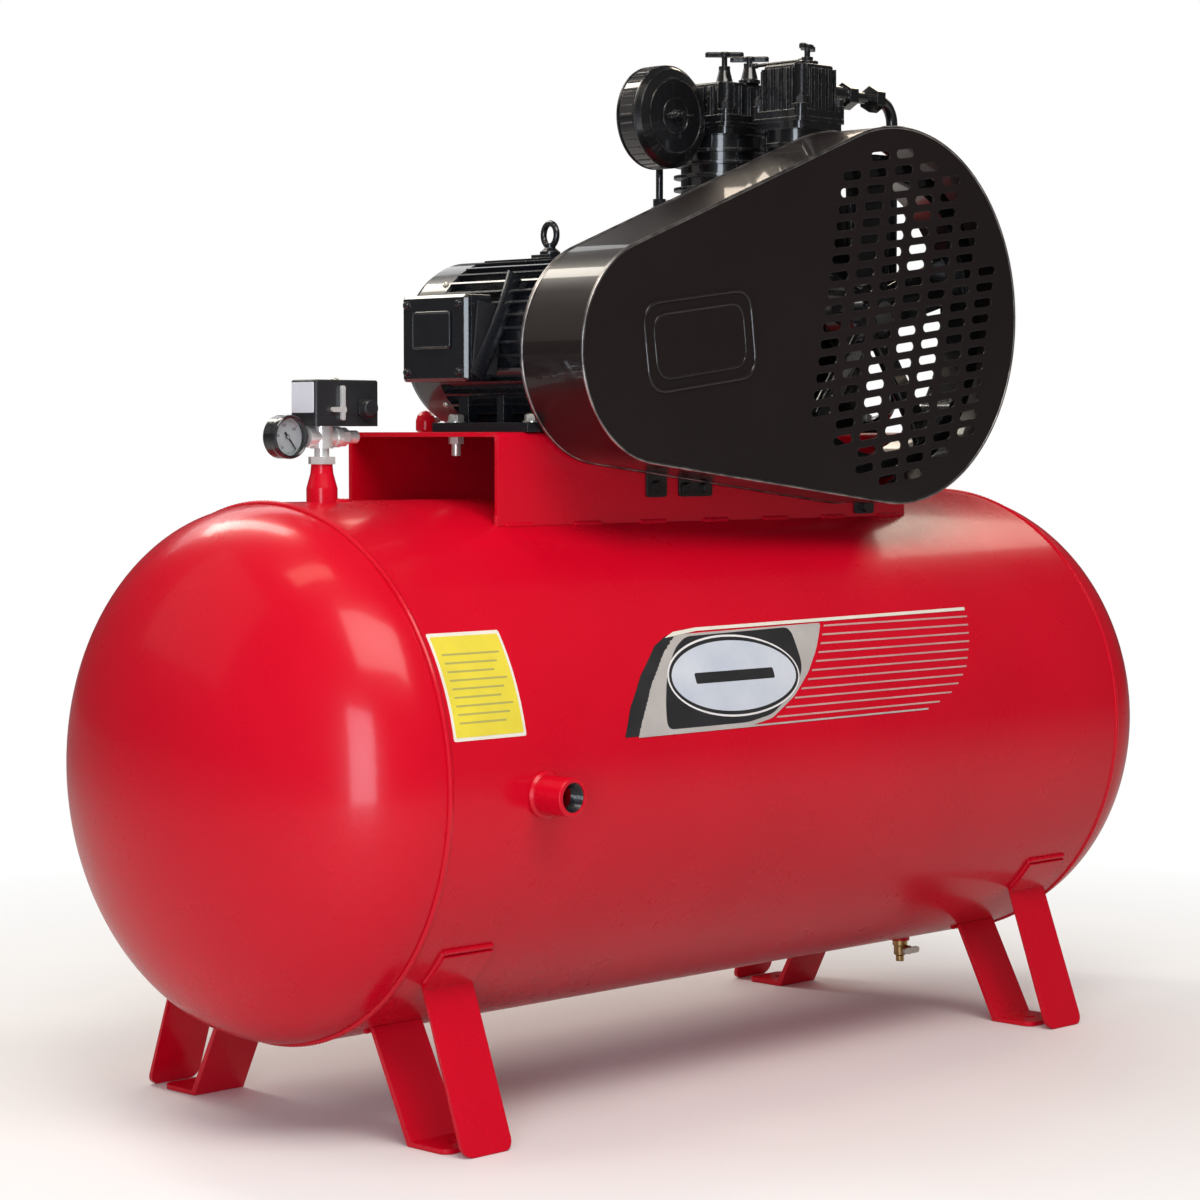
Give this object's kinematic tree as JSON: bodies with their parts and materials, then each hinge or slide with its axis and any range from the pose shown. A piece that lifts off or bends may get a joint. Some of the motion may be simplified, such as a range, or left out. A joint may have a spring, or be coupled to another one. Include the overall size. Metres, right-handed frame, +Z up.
{
  "type": "belt-driven air compressor",
  "caption": "Horizontal tank air compressor with an electric motor, belt drive behind a round-ended guard, and a finned piston pump on a platform.",
  "frame": {"origin": "on the floor, at the centre of the four foot holes", "axes": "+X along the tank towards the pump's end, -Y towards the belt guard's side, +Z up"},
  "size_m": [1.635, 0.697, 1.366],
  "materials": {
    "red_paint": "gloss",
    "pump_black": "gloss",
    "motor_black": "gloss",
    "guard_black": "satin",
    "zinc_steel": "satin",
    "chrome_fittings": "polished",
    "brass_fittings": "satin",
    "machined_steel": "satin",
    "aluminium_alloy": "satin",
    "belt_rubber": "matte",
    "black_plastic": "satin",
    "dial_white": "gloss",
    "clear_lens": "polished"
  },
  "bodies": {
    "root": {"air_filter": "pump_black", "ball_bearings": "machined_steel", "bearing_housings": "pump_black", "cable_gland": "black_plastic", "check_valve": "brass_fittings", "conduit_box": "motor_black", "conduit_cover": "motor_black", "crankcase": "pump_black", "cylinder_first": "pump_black", "cylinder_second": "pump_black", "discharge_pipe": "pump_black", "drain_cock": "brass_fittings", "eye_bolt": "motor_black", "fan_cover": "motor_black", "gauge_case": "motor_black", "gauge_dial": "dial_white", "gauge_lens": "clear_lens", "guard_band": "guard_black", "guard_fixings": "guard_black", "guard_front": "guard_black", "head_first": "pump_black", "head_second": "pump_black", "hex_bolts": "zinc_steel", "leg_front_left": "red_paint", "leg_front_right": "red_paint", "leg_rear_left": "red_paint", "leg_rear_right": "red_paint", "lifter_bodies": "pump_black", "manifold_cross": "chrome_fittings", "motor_end_bells": "motor_black", "motor_frame": "motor_black", "oil_fittings": "brass_fittings", "pipe_nuts": "pump_black", "pistons": "aluminium_alloy", "platform": "red_paint", "pump_pipes": "pump_black", "safety_valve": "red_paint", "stator": "machined_steel", "switch_base": "black_plastic", "switch_cover": "black_plastic", "tank_bungs": "red_paint", "tank_head_left": "red_paint", "tank_head_right": "red_paint", "tank_shell": "red_paint", "v_belts": "belt_rubber", "valve_plates": "pump_black"},
    "crank_train": {"crankshaft": "machined_steel", "flywheel": "pump_black"},
    "motor_shaft": {"motor_rotor": "machined_steel", "cooling_fan": "black_plastic", "motor_pulley": "motor_black"},
    "rod_first": {"connecting_rod_first": "machined_steel"},
    "rod_second": {"connecting_rod_second": "machined_steel"},
    "lifter_rear": {"lifter_handle_rear": "pump_black"},
    "lifter_middle": {"lifter_handle_middle": "pump_black"},
    "lifter_front": {"lifter_handle_front": "pump_black"},
    "needle": {"gauge_needle": "black_plastic"},
    "switch_arm": {"switch_lever": "chrome_fittings"},
    "relief_arm": {"safety_lever": "zinc_steel"},
    "drain_arm": {"drain_handle": "zinc_steel"}
  },
  "joints": [
    {"name": "flywheel_spin", "type": "hinge", "parent": "root", "child": "crank_train", "pos_m": [0.244, -0.194, 0.99], "axis": [0, 1, 0], "continuous": true},
    {"name": "motor_spin", "type": "hinge", "parent": "root", "child": "motor_shaft", "pos_m": [-0.215, -0.194, 0.947], "axis": [0, 1, 0], "continuous": true},
    {"name": "rod_first_swing", "type": "hinge", "parent": "crank_train", "child": "rod_first", "pos_m": [0.244, 0.07, 0.966], "axis": [0, 1, 0], "continuous": true},
    {"name": "rod_second_swing", "type": "hinge", "parent": "crank_train", "child": "rod_second", "pos_m": [0.244, -0.068, 1.014], "axis": [0, 1, 0], "continuous": true},
    {"name": "lifter_rear_turn", "type": "hinge", "parent": "root", "child": "lifter_rear", "pos_m": [0.244, 0.069, 1.346], "axis": [0, 0, 1], "range_deg": [0, 180]},
    {"name": "lifter_middle_turn", "type": "hinge", "parent": "root", "child": "lifter_middle", "pos_m": [0.244, 0.022, 1.346], "axis": [0, 0, 1], "range_deg": [0, 180]},
    {"name": "lifter_front_turn", "type": "hinge", "parent": "root", "child": "lifter_front", "pos_m": [0.244, -0.084, 1.346], "axis": [0, 0, 1], "range_deg": [0, 180]},
    {"name": "gauge_needle_turn", "type": "hinge", "parent": "root", "child": "needle", "pos_m": [-0.609, -0.005, 0.829], "axis": [0, 1, 0], "range_deg": [0, 270], "stiffness_Nm_per_rad": 0.0002},
    {"name": "switch_lever_turn", "type": "hinge", "parent": "root", "child": "switch_arm", "pos_m": [-0.54, -0.0246, 0.862], "axis": [0, 1, 0], "range_deg": [0, 45]},
    {"name": "safety_lever_lift", "type": "hinge", "parent": "root", "child": "relief_arm", "pos_m": [-0.216, 0.165, 0.851], "axis": [0, -1, 0], "range_deg": [0, 25], "stiffness_Nm_per_rad": 0.02},
    {"name": "drain_handle_turn", "type": "hinge", "parent": "root", "child": "drain_arm", "pos_m": [0.555, -0.019, 0.076], "axis": [0, -1, 0], "range_deg": [0, 90]}
  ],
  "couplings": [
    {"joint": "motor_spin", "follows": "flywheel_spin", "ratio": 3.197},
    {"joint": "rod_first_swing", "follows": "flywheel_spin", "ratio": -1},
    {"joint": "rod_second_swing", "follows": "flywheel_spin", "ratio": -1}
  ]
}
